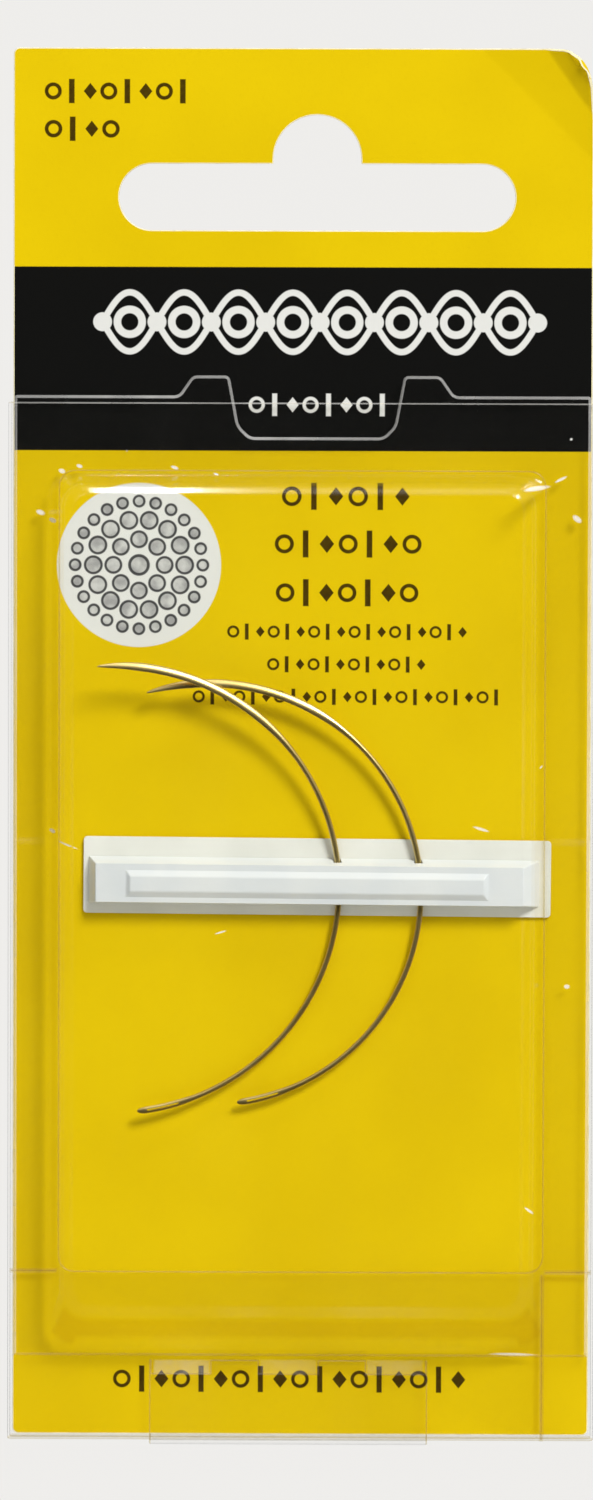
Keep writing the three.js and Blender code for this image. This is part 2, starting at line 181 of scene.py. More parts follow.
class Recipe:
    def __init__(self, name, library="materials"):
        self.made = getattr(bpy.data, library).new(name)
        self.made.use_nodes = True
        self.tree = self.made.node_tree
        self.tree.nodes.clear()

    def node(self, kind, inputs=None, output=0, **settings):
        """Adds a node: its settings first, then the values and links of its inputs."""
        made = self.tree.nodes.new(kind)
        for setting, value in settings.items():
            setattr(made, setting, value)
        for socket, value in (inputs or {}).items():
            if isinstance(value, Wire):
                self.tree.links.new(value.socket, made.inputs[socket])
            elif isinstance(value, tuple) and made.inputs[socket].type == "RGBA":
                made.inputs[socket].default_value = (*value, 1)
            else:
                made.inputs[socket].default_value = value
        return None if output is None else Wire(self, made.outputs[output])

    def metres(self, kind="Object"):
        return self.node("ShaderNodeTexCoord", output=kind)

    def split(self, place, axes):
        return [self.node("ShaderNodeSeparateXYZ", {0: place}, axis) for axis in axes]

    def ray(self, kind):
        """1 where a ray is of this kind, and 0 where it isn't."""
        return self.node("ShaderNodeLightPath", output=f"Is {kind} Ray")

    def page(self):
        """Across and up on the card, in millimetres."""
        place = self.node("ShaderNodeMapping", {
            "Vector": self.metres(),
            "Location": (-PAGE_MIDDLE / MM, 0, -PAGE_FOOT / MM),
            "Scale": (1 / MM, 1 / MM, 1 / MM),
        })
        return self.split(place, "XZ")

    def noise(self, size, detail=2, roughness=0.5, stretch=(1, 1, 1)):
        """Soft mottling, with blotches about size millimetres across, from 0 to 1."""
        place = self.node("ShaderNodeMapping", {"Vector": self.metres(), "Scale": stretch})
        inputs = {"Vector": place, "Scale": 1 / (size * MM), "Detail": detail, "Roughness": roughness}
        return self.node("ShaderNodeTexNoise", inputs)

    def specks(self, spacing, size, share):
        """Small round specks of a size in millimetres, in a share of the cells of a spacing."""
        inputs = {"Vector": self.metres(), "Scale": 1 / (spacing * MM)}
        near = self.node("ShaderNodeTexVoronoi", inputs, "Distance")
        tint = self.node("ShaderNodeTexVoronoi", inputs, "Color")
        lot = self.node("ShaderNodeSeparateColor", {0: tint})
        return (1 - near.ranged(size / spacing * 0.5, size / spacing)) * lot.above(1 - share)

    def mixed(self, mask, under, over):
        return self.node("ShaderNodeMix", {0: mask, 6: under, 7: over}, 2, data_type="RGBA")

    def layered(self, colour, *layers):
        """Lays colours over a first one, each through its mask."""
        for mask, over in layers:
            colour = self.mixed(mask, colour, over)
        return colour

    def bump(self, height, depth, strength=1):
        inputs = {"Height": height, "Distance": depth * MM, "Strength": strength}
        return self.node("ShaderNodeBump", inputs)

    def plain(self, **sockets):
        inputs = {name.replace("_", " "): value for name, value in sockets.items()}
        return self.node("ShaderNodeBsdfPrincipled", inputs)

    def done(self, shader, kind="ShaderNodeOutputMaterial"):
        self.node(kind, {"Surface": shader}, None)
        print("finish:", self.made.name, len(self.tree.nodes), "nodes")
        return self.made


# %% [markdown]
# ## Light
#
# In the photograph the needles' shadows fall to the left and down, so a soft key light stands at the
# upper right in front. A weak one at the upper left gives the steel its second streak. An even world
# light fills the rest, at a level at which a colour renders about as it is written, and a weaker lamp
# behind does the same for the back, which the photograph doesn't show. The last two lamps are small
# strips above, there for the clear plastic alone: its formed edges show by what they mirror.

# %% Lamps
LIGHT_CENTRE = Vector((across(0), 0, up(55)))
COVER_BROW = Vector((across(-13), -0.0045, up(76)))
BROW_WAY = Vector((-0.0275, -0.3407, 0.9398))


def area_light(name, place, target, size, watts, mirrored=True):
    lamp = bpy.data.lights.new(name, "AREA")
    lamp.shape = "RECTANGLE"
    lamp.size, lamp.size_y = size
    lamp.energy = watts
    light = bpy.data.objects.new(name, lamp)
    scene.collection.objects.link(light)
    turn = (target - place).to_track_quat("-Z", "Y")
    light.matrix_world = Matrix.Translation(place) @ turn.to_matrix().to_4x4()
    light.visible_camera = False
    light.visible_glossy = mirrored


def away_by(distance, x, y, z):
    """A place at a distance from the pack's middle, in some direction."""
    return LIGHT_CENTRE + Vector((x, y, z)).normalized() * distance


def over_brow(distance, aside=0):
    """A place from which a lamp is mirrored by the cover's brow into the camera."""
    return COVER_BROW + BROW_WAY * distance + Vector((aside, 0, 0))


area_light("key", away_by(2, 0.7, -1, 1.02), LIGHT_CENTRE, size=(0.56, 0.56), watts=40.5)
area_light("streak", away_by(0.6, -0.38, -0.7, 0.6), LIGHT_CENTRE, size=(0.25, 0.25), watts=0.17)
area_light("back", away_by(1, -0.35, 1, 0.2), LIGHT_CENTRE, size=(0.6, 0.6), watts=5, mirrored=False)
area_light("overhead", over_brow(0.5, aside=0.02), COVER_BROW, size=(0.34, 0.04), watts=0.1)
area_light("glint", over_brow(0.48), COVER_BROW, size=(0.014, 0.045), watts=0.24)

# %% [markdown]
# The world is pale where the camera looks. What is mirrored is a room of its own: dark in front and
# below, as a room behind the camera is, so flat plastic stays clear, and bright overhead and behind,
# which gives the steel and the cover's brow their highlights. The recipe is the same kind as a
# material's, and its place is the direction in which a ray leaves.

# %% World
FILL = 0.32
PALE = (0.86, 0.85, 0.83)


def make_world():
    sky = Recipe("studio", "worlds")
    x, y, z = sky.split(sky.metres("Generated"), "XYZ")
    behind = y.ranged(-0.6, 0.5, 0.012, 0.9) * z.ranged(-0.4, 0.15, 0.03, 1)
    ceiling = z.ranged(0.2, 0.75, 0, 0.8) * x.ranged(-0.5, 0.4, 0.35, 1)
    inputs = {"Factor": sky.ray("Glossy"), "A": FILL, "B": behind.greater(ceiling)}
    room = sky.node("ShaderNodeMix", inputs)
    seen = sky.ray("Camera").greater(sky.ray("Transmission"))
    strength = sky.node("ShaderNodeMix", {"Factor": seen, "A": room, "B": 1})
    colour = sky.mixed(seen, (1, 1, 1), PALE)
    glow = sky.node("ShaderNodeBackground", {"Color": colour, "Strength": strength})
    return sky.done(glow, "ShaderNodeOutputWorld")


scene.world = make_world()

# %% [markdown]
# ## Modelling by hand, in code
#
# Each piece is modelled as a person would at the screen: add a primitive, go into edit mode, pick
# faces or edges, and run an operator on them. Picking is done by place and direction, which works
# the same on every run. Everything is deselected first, because an operator acts on all that is
# selected.

# %% Hands
def choose(*objects):
    """Selects these objects and no others, and makes the last one active."""
    for other in scene.objects:
        other.select_set(other in objects)
    if objects:
        bpy.context.view_layer.objects.active = objects[-1]


@contextmanager
def editing(obj):
    choose(obj)
    bpy.ops.object.mode_set(mode="EDIT")
    bpy.ops.mesh.select_mode(type="FACE")
    bpy.ops.mesh.select_all(action="DESELECT")
    yield
    bpy.ops.object.mode_set(mode="OBJECT")


def middle(element):
    corners = getattr(element, "verts", None)
    if corners is None:
        return element.co
    return sum((v.co for v in corners), Vector()) / len(corners)


def pick(obj, kind, test):
    """Selects the verts, edges or faces that pass test(middle, element), and counts them."""
    bpy.ops.mesh.select_mode(type={"verts": "VERT", "edges": "EDGE", "faces": "FACE"}[kind])
    bpy.ops.mesh.select_all(action="DESELECT")
    mesh = bmesh.from_edit_mesh(obj.data)
    found = [e for e in getattr(mesh, kind) if test(middle(e), e)]
    for element in found:
        element.select_set(True)
    mesh.select_flush_mode()
    bmesh.update_edit_mesh(obj.data)
    return len(found)


def anywhere(m, element):
    return True


def cut(obj, place, normal, test=anywhere):
    """Adds a cut line across the faces that pass a test."""
    pick(obj, "faces", test)
    bpy.ops.mesh.bisect(plane_co=place, plane_no=normal, use_fill=False)


def cut_level(obj, height, test=anywhere):
    cut(obj, (0, 0, up(height)), (0, 0, 1), test)


def cut_upright(obj, x, test=anywhere):
    cut(obj, (across(x), 0, 0), (1, 0, 0), test)


def along(axis):
    """A test for edges that reach farther than a tenth of a millimetre along an axis."""
    def test(m, edge):
        start, end = (getattr(v.co, axis) for v in edge.verts)
        return abs(start - end) > 0.1 * MM
    return test


along_x, along_y, along_z = (along(axis) for axis in "xyz")


def round_edges(obj, width, segments, test):
    """Bevels the edges that pass a test, by a width in millimetres."""
    pick(obj, "edges", test)
    bpy.ops.mesh.bevel(offset=width * MM, segments=segments, affect="EDGES")


def slide(x=0, y=0, z=0):
    """Moves what is selected, in millimetres."""
    bpy.ops.transform.translate(value=(x * MM, y * MM, z * MM))


def extrude(x=0, y=0, z=0):
    """Extrudes what is selected, and moves what that makes."""
    bpy.ops.mesh.extrude_region_move()
    slide(x, y, z)


def modify(obj, kind, **settings):
    choose(obj)
    modifier = obj.modifiers.new(kind.lower(), kind)
    for setting, value in settings.items():
        setattr(modifier, setting, value)
    bpy.ops.object.modifier_apply(modifier=modifier.name)


def named(name):
    obj = bpy.context.object
    obj.name = name
    obj.data.name = name
    choose(obj)
    bpy.ops.object.transform_apply(location=True, rotation=True, scale=True)
    return obj


def block(name, low, high):
    """A box between two corners."""
    low, high = Vector(low), Vector(high)
    choose()
    bpy.ops.mesh.primitive_cube_add(size=1, location=(low + high) / 2, scale=high - low)
    return named(name)


def page_block(name, left, right, foot, head, near, far):
    """A box between four lines on the page and two depths in metres."""
    return block(name, (across(left), near, up(foot)), (across(right), far, up(head)))


def leaf(name, left, right, foot, head, depth):
    """A flat upright sheet that faces the front, at a depth along Y."""
    choose()
    bpy.ops.mesh.primitive_plane_add(
        size=1,
        location=((left + right) / 2, depth, (foot + head) / 2),
        rotation=(math.pi / 2, 0, 0),
    )
    bpy.context.object.scale = (right - left, head - foot, 1)
    return named(name)


def carve(obj, *tools):
    """Cuts the tools' shapes out of a piece."""
    for tool in tools:
        modify(obj, "BOOLEAN", operation="DIFFERENCE", object=tool, solver="EXACT")
        bpy.data.objects.remove(tool)


def soften(obj, width, segments, least_angle, finish=-1):
    """Rounds the edges that turn by more than an angle."""
    modify(obj, "BEVEL", width=width * MM, segments=segments, limit_method="ANGLE",
           angle_limit=math.radians(least_angle), material=finish)


def smooth(obj, angle=40):
    """Smooth shading below an angle, with flat faces kept flat right up to their soft edges."""
    choose(obj)
    bpy.ops.object.shade_smooth_by_angle(angle=math.radians(angle), keep_sharp_edges=False)
    modify(obj, "WEIGHTED_NORMAL", keep_sharp=True)


def close_to(a, b, margin=0.02):
    return abs(a - b) < margin * MM


def wear(obj, finishes, test=None):
    """Gives a piece its materials. test(polygon) says which one a face takes."""
    obj.data.materials.clear()
    for finish in finishes:
        obj.data.materials.append(finish)
    if test:
        for polygon in obj.data.polygons:
            polygon.material_index = test(polygon)


def report(obj):
    size = [round(v / MM, 2) for v in obj.dimensions]
    print(f"{obj.name}: {len(obj.data.polygons)} faces, {size} mm")


def hand_over(obj, body, node):
    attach(obj, body)
    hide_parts(node)
    report(obj)


# %% [markdown]
# ## The print
#
# The card is printed bright yellow with a black band and a white disc. The real print carries words
# and a picture, and this pack stays blank of both: rows of printed beads and bugles stand where the
# lines of words were, at the same sizes, a braid of thread and beads runs along the band, and a
# rosette of beads fills the disc. Each mark is a distance in millimetres, turned into a mask with a
# soft edge, so it is as sharp as print at any size. Ink takes the light a little less evenly than
# plain varnish, which the roughness shows.

# %% Print marks
INK_EDGE = 0.07
YELLOW = (0.715, 0.508, 0.0012)
DEEP_YELLOW = (0.67, 0.468, 0.001)
WORN_YELLOW = (0.6, 0.4, 0.001)
BLACK = (0.005, 0.005, 0.0045)
PAPER_WHITE = (0.70, 0.71, 0.66)
BEAD_GREY = (0.2, 0.2, 0.2)
BEAD_OUTLINE = (0.03, 0.03, 0.032)
WHITE_INK = (0.72, 0.72, 0.68)
BROWN_INK = (0.026, 0.01, 0.0015)
SCUFF = (0.6, 0.58, 0.5)
BAND = (78.94, 93.59)
DISC = (-13.06, 69.8)
DISC_RADIUS = 6.56
MIDDLE_BEAD = 0.75


def inked(distance):
    """A mask that is 1 where the distance is below nought."""
    return (0.5 - distance / INK_EDGE).clamped()


def round_gap(x, z, radius):
    return (x * x + z * z).root() - radius


def outside(place, low, high):
    """How far a place is outside a span, and less than nought inside it."""
    return abs(place - (low + high) / 2) - (high - low) / 2


def in_cell(turns, size):
    """How far a place is from the middle of its own cell, in a row of cells of this size."""
    return (turns.fraction() - 0.5) * size


def bead_row(x, z, left, right, foot, head, pitch, stroke):
    """A row of ring beads with bugles and small lozenges between them, printed in one ink."""
    count = round((right - left) / pitch)
    step = (right - left) / count
    turn = (x - left) / step
    number = turn.floor()
    local = in_cell(turn, step)
    height = z - (foot + head) / 2
    tall = (head - foot) / 2
    ring = abs(round_gap(local, height, step * 0.36)) - stroke / 2
    bugle = (abs(local) - stroke * 0.75).greater(abs(height) - tall * 0.92)
    lozenge = abs(local) * 1.25 + abs(height) - tall * 0.62
    third = (number / 3).fraction()
    is_lozenge = third.above(0.5)
    is_bugle = third.above(0.2) * (1 - is_lozenge)
    is_ring = (1 - is_bugle) * (1 - is_lozenge)
    marks = inked(ring) * is_ring + inked(bugle) * is_bugle + inked(lozenge) * is_lozenge
    return marks * inked(outside(x, left, right))


def braid(x, z, left, right, middle_height, swing, waves, thread):
    """Two threads that cross again and again, with a bead in each eye and a dot at each crossing."""
    turn = (x - left) * (2 * math.pi * waves / (right - left))
    slope = swing * 2 * math.pi * waves / (right - left)
    height = z - middle_height
    steep = ((turn.cosine() * slope) ** 2 + 1).root()
    wave = turn.sine() * swing
    threads = (abs(height - wave) / steep).lesser(abs(height + wave) / steep) - thread / 2
    eye = (right - left) / (2 * waves)
    eyes = (x - left) / eye
    bead = abs(round_gap(in_cell(eyes, eye), height, swing * 0.42)) - thread * 0.6
    knot = round_gap(in_cell(eyes + 0.5, eye), height, thread * 1.5)
    beyond = outside(x, left, right)
    drawn = threads.lesser(bead).greater(beyond).lesser(knot)
    return inked(drawn.greater(beyond - thread * 1.5))


def rosette(x, z, rings):
    """Rings of printed beads round a middle one: the outline mask and the filled mask."""
    far = (x * x + z * z).root()
    angle = z.angle_over(x)
    outline = abs(far - MIDDLE_BEAD) - 0.12
    filled = far - MIDDLE_BEAD
    for radius, count, size in rings:
        sector = 2 * math.pi / count
        local = in_cell(angle / sector + 0.5, sector)
        gap = round_gap(local.cosine() * far - radius, local.sine() * far, size)
        outline = outline.lesser(abs(gap) - 0.1)
        filled = filled.lesser(gap)
    return inked(outline), inked(filled)


# %% [markdown]
# The rows below list where each line of print stands. Every row is left edge, right edge, foot and
# head, then the pitch of its beads and the width of its stroke, all in millimetres on the page. The
# braid has its left and right edges, its height, its swing, its number of waves and its thread. Each
# ring of the rosette has its radius, the number of its beads and their radius.

# %% The printed front
BROWN_ROWS = [
    (-20.7, -8.9, 106.5, 108.6, 1.45, 0.3),
    (-20.7, -14.6, 103.5, 105.6, 1.45, 0.3),
    (-1.75, 8.85, 74.15, 76.5, 1.75, 0.3),
    (-2.3, 9.6, 70.35, 72.7, 1.75, 0.3),
    (-2.2, 9.35, 66.45, 68.8, 1.75, 0.3),
    (-6.05, 13.35, 63.8, 65.2, 1.1, 0.2),
    (-2.85, 10.05, 61.2, 62.6, 1.1, 0.2),
    (-8.8, 16.05, 58.6, 60.0, 1.1, 0.2),
    (-15.1, 13.5, 3.3, 5.6, 1.6, 0.28),
]
WHITE_ROW = (-4.4, 7.05, 81.65, 83.6, 1.4, 0.26)
BRAID = (-16.0, 18.7, 89.2, 2.35, 4, 0.5)
ROSETTE_RINGS = [(2.05, 8, 0.62), (3.65, 14, 0.66), (5.1, 24, 0.42)]


def printed_front():
    ink = Recipe("printed_front")
    x, z = ink.page()
    grain = ink.noise(0.35, 3, 0.7)
    cloud = ink.noise(16, 2)
    disc_x, disc_z = x - DISC[0], z - DISC[1]
    on_disc = inked(round_gap(disc_x, disc_z, DISC_RADIUS))
    outline, filled = rosette(disc_x, disc_z, ROSETTE_RINGS)
    shade = ink.noise(1.1, 2).ranged(0.3, 0.7, 0.25, 0.75)
    on_band = inked(outside(z, *BAND))
    white = braid(x, z, *BRAID).greater(bead_row(x, z, *WHITE_ROW))
    brown = reduce(Wire.greater, [bead_row(x, z, *row) for row in BROWN_ROWS])
    paper = ink.layered(
        YELLOW,
        (cloud.ranged(0.35, 0.7), DEEP_YELLOW),
        (grain.ranged(0.5, 0.8, 0, 0.16), WORN_YELLOW),
        (on_disc, PAPER_WHITE),
        (filled * shade, BEAD_GREY),
        (outline * 0.93, BEAD_OUTLINE),
        (on_band, BLACK),
        (white * 0.94, WHITE_INK),
        (brown * (0.9 + grain * 0.1), BROWN_INK),
        (ink.specks(9, 0.16, 0.3) * 0.55, SCUFF),
    )
    return ink.done(ink.plain(
        Base_Color=paper,
        Roughness=0.42 + grain * 0.1 + on_band * 0.04,
        Normal=ink.bump(grain + cloud * 0.5, 0.008, 0.5),
        Specular_IOR_Level=0.04,
    ))


def board_fibre(name, light, dark, stretch):
    fibre = Recipe(name)
    strands = fibre.noise(0.5, 4, 0.65, stretch)
    flecks = fibre.specks(1.6, 0.22, 0.25)
    tone = fibre.layered(light, (strands.ranged(0.3, 0.75), dark), (flecks * 0.35, (0.3, 0.27, 0.22)))
    relief = fibre.bump(strands, 0.02, 0.6)
    return fibre.done(fibre.plain(Base_Color=tone, Roughness=0.75 + strands * 0.15, Normal=relief))


print_finish = printed_front()
board_back = board_fibre("board_back", (0.66, 0.64, 0.58), (0.55, 0.53, 0.47), (1, 1, 0.3))
board_edge = board_fibre("board_edge", (0.86, 0.80, 0.55), (0.72, 0.62, 0.3), (0.35, 3, 0.35))

# %% [markdown]
# ## The card
#
# The real card is die-cut board half a millimetre thick. It starts as a box whose four corners are
# bevelled, the handled one wider. The hang slot is carved with a tool made of a long rounded box and
# a round peg, which is what the die's blade looks like. The handled corner at the top right has been
# bent forward three times. Each bend has a line on the page from one place to another, its degrees,
# its steps, and how many millimetres they are spread over. Cut lines are laid there, and everything
# beyond each line is turned a little more, so the bend is round and not a hinge.

# %% Card shape
CARD_CORNER = 0.5
WORN_CORNER = 2.2
SLOT_MIDDLE = 1.1
SLOT_FOOT, SLOT_HEAD, SLOT_TOP = 96.5, 101.8, 105.7
SLOT_LENGTH = 31.6
HUMP_WIDTH = 7.0
CARD_EDGE_SOFT = 0.13
HALF_ROUND = 0.999
PRINT, BOARD, CUT = 0, 1, 2
CORNER_BENDS = [
    ((14.0, 111), (23.1, 102.0), 6, 2, 0.5),
    ((19.2, 110.9), (23.0, 105.4), 20, 3, 0.7),
    ((20.6, 111), (23.1, 107.4), 20, 4, 1.2),
]


def slot_tool():
    half = (SLOT_HEAD - SLOT_FOOT) / 2
    depth = (card_high.y - card_low.y) * 2
    near, far = card_low.y - depth, card_high.y + depth
    left, right = SLOT_MIDDLE - SLOT_LENGTH / 2, SLOT_MIDDLE + SLOT_LENGTH / 2
    tool = page_block("slot_tool", left, right, SLOT_FOOT, SLOT_HEAD, near, far)
    with editing(tool):
        round_edges(tool, half * HALF_ROUND, 12, along_y)
    left, right = SLOT_MIDDLE - HUMP_WIDTH / 2, SLOT_MIDDLE + HUMP_WIDTH / 2
    hump = page_block("hump_tool", left, right, SLOT_FOOT + 1, SLOT_TOP, near * 1.1, far * 1.1)
    with editing(hump):
        round_edges(hump, HUMP_WIDTH / 2 * HALF_ROUND, 12,
                    lambda m, e: m.z > up(SLOT_HEAD) and along_y(m, e))
    return tool, hump


def bend_corner(obj, start, end, degrees, steps, spread):
    """Turns what lies beyond a line on the card forward about it, in several small steps."""
    a, b = (Vector((across(p[0]), card_low.y, up(p[1]))) for p in (start, end))
    line = (b - a).normalized()
    outward = Vector((-line.z, 0, line.x))
    if outward.x + outward.z < 0:
        outward = -outward
    turn = Matrix.Rotation(math.radians(degrees / steps), 3, line)
    if (turn @ outward).y > 0:
        turn.transpose()
    places = [a + outward * (spread * MM * step / steps) for step in range(steps)]
    with editing(obj):
        for place in places:
            cut(obj, place, outward)
        for place in places:
            pick(obj, "verts", lambda m, v: (m - place).dot(outward) > 1e-6)
            mesh = bmesh.from_edit_mesh(obj.data)
            for v in mesh.verts:
                if v.select:
                    v.co = place + turn @ (v.co - place)
            bmesh.update_edit_mesh(obj.data)


def make_card():
    card = block("printed_card", card_low, card_high)
    with editing(card):
        for is_worn, radius in ((False, CARD_CORNER), (True, WORN_CORNER)):
            round_edges(card, radius, 8, lambda m, e: along_y(m, e)
                        and (m.x > across(20) and m.z > up(100)) == is_worn)
    carve(card, *slot_tool())
    for bend in CORNER_BENDS:
        bend_corner(card, *bend)
    wear(card, [print_finish, board_back, board_edge],
         lambda p: PRINT if p.normal.y < -0.5 else BOARD if p.normal.y > 0.5 else CUT)
    soften(card, CARD_EDGE_SOFT, 2, 50, finish=CUT)
    smooth(card, 30)
    hand_over(card, "pack", "backing_card")


make_card()

# %% [markdown]
# ## Clear plastic
#
# Thin clear sheet shows by four things: a mirror sheen that grows at grazing angles, a trace of
# haze from handling, pale cut edges, and slow waves that bend what it mirrors. Real glass shaders
# would darken what lies under a thin shell, so the sheet lets light straight through and a Mix
# Shader lays the sheen and haze over it. The sheen's share follows Facing, which is the same from
# both sides of a wall. Every clear piece wears the edge's finish second in its list.

# %% Clear sheet finishes
# Painted highlights: small nicks on the cover, painted as bright glints where its corners and rims catch
# the light.
NICK_GLINTS = [
    (-19.2, 77.3, 0.3, 0.2, -0.35), (-17.8, 77.7, 0.28, 0.16, -0.35), (-10.2, 77.6, 0.35, 0.14, -0.35),
    (-6.9, 77.1, 0.25, 0.08, -0.35), (-20.9, 74.0, 0.4, 0.22, -0.35), (-19.9, 73.4, 0.35, 0.2, -0.35),
    (21.9, 73.6, 0.55, 0.3, -0.8), (21.25, 36.2, 0.24, 0.18, 0.0), (18.25, 18.5, 0.6, 0.12, -0.8),
    (19.1, 53.85, 0.22, 0.08, 0.8), (14.3, 49.0, 0.7, 0.12, -0.3), (-6.4, 40.7, 0.5, 0.07, 0.3),
    (21.4, 79.95, 0.16, 0.14, 0.8), (-19.9, 48.6, 0.3, 0.16, -0.35), (-18.6, 47.6, 0.9, 0.08, -0.35),
    (18.65, 76.05, 1.1, 0.2, 0.12), (20.6, 76.75, 0.6, 0.13, 0.5), (0.7, 10.2, 0.4, 0.1, 0.0),
    (17.1, 6.6, 1.9, 0.13, -0.02),
]


def painted_nick_glints(clear):
    """Painted glints at small nicks, bright where they would catch the light: across, up, half length
    and half width in millimetres, and how they lean.
    """
    x, z = clear.page()
    marks = []
    for place_x, place_z, long, wide, lean in NICK_GLINTS:
        off_x, off_z = x - place_x, z - place_z
        level, rising = off_x + off_z * lean, off_z - off_x * lean
        marks.append(((level / long) ** 2 + (rising / wide) ** 2).ranged(0.2, 1.3, 0.5, 0))
    return reduce(Wire.greater, marks)


def clear_finish(name, haze, smear, roughness, marks=None, tint=(1.0, 0.999, 0.994), mirror=0.8):
    clear = Recipe(name)
    waves = clear.noise(9, 1)
    fine = clear.noise(1.6, 2)
    smears = clear.noise(7, 3, 0.6, (1, 1, 0.45))
    relief = clear.bump(waves + fine * 0.12, 0.05, 0.6)
    facing = clear.node("ShaderNodeLayerWeight", {"Blend": 0.5, "Normal": relief}, "Facing")
    share = 0.02 + (facing ** 5) * mirror
    through = clear.node("ShaderNodeBsdfTransparent", {"Color": tint})
    sheen = clear.node("ShaderNodeBsdfAnisotropic", {"Roughness": roughness, "Normal": relief})
    glass = clear.node("ShaderNodeMixShader", {0: share, 1: through, 2: sheen})
    dust = clear.node("ShaderNodeBsdfDiffuse", {"Color": (0.8, 0.79, 0.76)})
    dulled = smears.ranged(0.45, 0.8) * smear + haze + clear.specks(7, 0.12, 0.25) * 0.3
    # Marks lay painted highlights into the haze: the cover's nick glints and the pocket's pale patches.
    if marks:
        dulled = dulled.greater(marks(clear))
    return clear.done(clear.node("ShaderNodeMixShader", {0: dulled, 1: glass, 2: dust}))


FLAT = (0.0003, 0.0008, 0.07)
clear_face = clear_finish("clear_face", *FLAT)
clear_nicked = clear_finish("clear_nicked", *FLAT, painted_nick_glints)
clear_edge = clear_finish("clear_edge", 0.26, 0.2, 0.25)
clear_rim = clear_finish("clear_rim", 0.03, 0.05, 0.2, tint=(0.91, 0.87, 0.76), mirror=0.15)
# Bends and the crease: strain whitening, and a painted highlight along the bends where they would catch
# the light.
clear_fold = clear_finish("clear_fold", 0.004, 0.014, 0.1)
# Painted shade: the slope's middle takes a darker tint, standing in for the light that its grazing faces
# turn away from the card.
clear_slope = clear_finish("clear_slope", *FLAT, painted_nick_glints, tint=(0.97, 0.945, 0.9))
FACE, EDGE = 0, 1
NO_LENGTH = 0.002 * MM


def clear_piece(obj, body, node, roundness, on_edge=lambda m: True):
    """Rounds the cut edges, in the edge finish, and clears away what that leaves without an area."""
    with editing(obj):
        found = pick(obj, "edges", lambda m, e: e.calc_face_angle(0) > math.radians(70) and on_edge(m))
        bpy.ops.mesh.bevel(offset=roundness * MM, segments=3, affect="EDGES", material=EDGE)
        bpy.ops.mesh.select_all(action="SELECT")
        bpy.ops.mesh.remove_doubles(threshold=NO_LENGTH)
        bpy.ops.mesh.dissolve_degenerate(threshold=NO_LENGTH)
    print("edges rounded:", found)
    smooth(obj)
    hand_over(obj, body, node)


# %% [markdown]
# ## The pocket
#
# The card slips into a flat clear sleeve that is open at its top. It is a box without its top face,
# its upright folds rounded, then given its thickness inwards. A rounded tool opens the window in the
# front leaf, which leaves the lips that hold the card. The front is made of flaps that overlap: the
# foot flap's edge runs on to both sides, and the right flap's edge runs on to the foot, as fine
# pressed lines. The open top edge is the one that catches the light, so it has the brighter of the
# two edge finishes.

# %% Pocket
pocket_low, pocket_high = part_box("card_pocket")
POCKET_SHEET = 0.25
POCKET_LIP = 3.75
WINDOW_FOOT, WINDOW_HEAD = 13.2, 77.3
WINDOW_CORNER = 1.2
POCKET_BEND = 0.38
SEAM_WIDTH, SEAM_DEPTH = 0.14, 0.09
SEAM_GAP, SEAM_REACH = 0.3, 23.2
TOP_EDGE, BRIGHT = 82.5, 2
PALE_PATCHES = [(-9.5, 5.45, 0.1), (-0.95, 5.5, 0.05), (7.6, 5.5, 0.05)]


def patch_marks(clear):
    """Three pale patches, painted highlights, that show through the tongue's slots."""
    x, z = clear.page()
    patchiness = clear.noise(0.9, 2).ranged(0.3, 0.7, 0.5, 1)
    marks = []
    for place_x, place_z, strength in PALE_PATCHES:
        gap = (abs(x - place_x) - 2.2).greater(abs(z - place_z) - 0.55)
        marks.append(gap.ranged(-0.1, 0.12, strength, 0))
    return reduce(Wire.greater, marks) * patchiness


# The pocket's face, with the three pale patches painted in as highlights.
clear_rubbed = clear_finish("clear_rubbed", *FLAT, patch_marks)


def front_tool(left, right, foot, head, depth=SEAM_DEPTH):
    """A tool that cuts into the pocket's front, by a depth in millimetres."""
    face = pocket_low.y
    return page_block("front_tool", left, right, foot, head, face - MM, face + depth * MM)


def make_pocket():
    pocket = block("clear_pocket", pocket_low, pocket_high)
    with editing(pocket):
        round_edges(pocket, POCKET_BEND, 4, along_z)
        pick(pocket, "faces", lambda m, f: f.normal.z > 0.9)
        bpy.ops.mesh.delete(type="FACE")
    wear(pocket, [clear_rubbed, clear_rim, clear_edge])
    modify(pocket, "SOLIDIFY", thickness=POCKET_SHEET * MM, offset=-1, material_offset_rim=EDGE)
    half = (card_high.x - card_low.x) / 2 / MM - POCKET_LIP
    tool = front_tool(-half, half, WINDOW_FOOT, WINDOW_HEAD, POCKET_SHEET * 1.12)
    with editing(tool):
        round_edges(tool, WINDOW_CORNER, 5, along_y)
    width = SEAM_WIDTH / 2
    seams = [
        front_tool(half - width, half + width, -SEAM_GAP, WINDOW_FOOT - SEAM_GAP),
        front_tool(-SEAM_REACH, -half - SEAM_GAP, WINDOW_FOOT - width, WINDOW_FOOT + width),
        front_tool(half + SEAM_GAP, SEAM_REACH, WINDOW_FOOT - width, WINDOW_FOOT + width),
    ]
    for cutter in (tool, *seams):
        wear(cutter, [clear_rubbed, clear_rim], lambda p: EDGE)
    carve(pocket, tool, *seams)
    clear_piece(pocket, "pack", "card_pocket", 0.12)
    # Painted highlight: the open top edge takes the paler edge finish, where it catches the light.
    for face in pocket.data.polygons:
        if face.material_index == EDGE and face.center.z > up(TOP_EDGE) and face.normal.y < 0.1:
            face.material_index = BRIGHT


make_pocket()

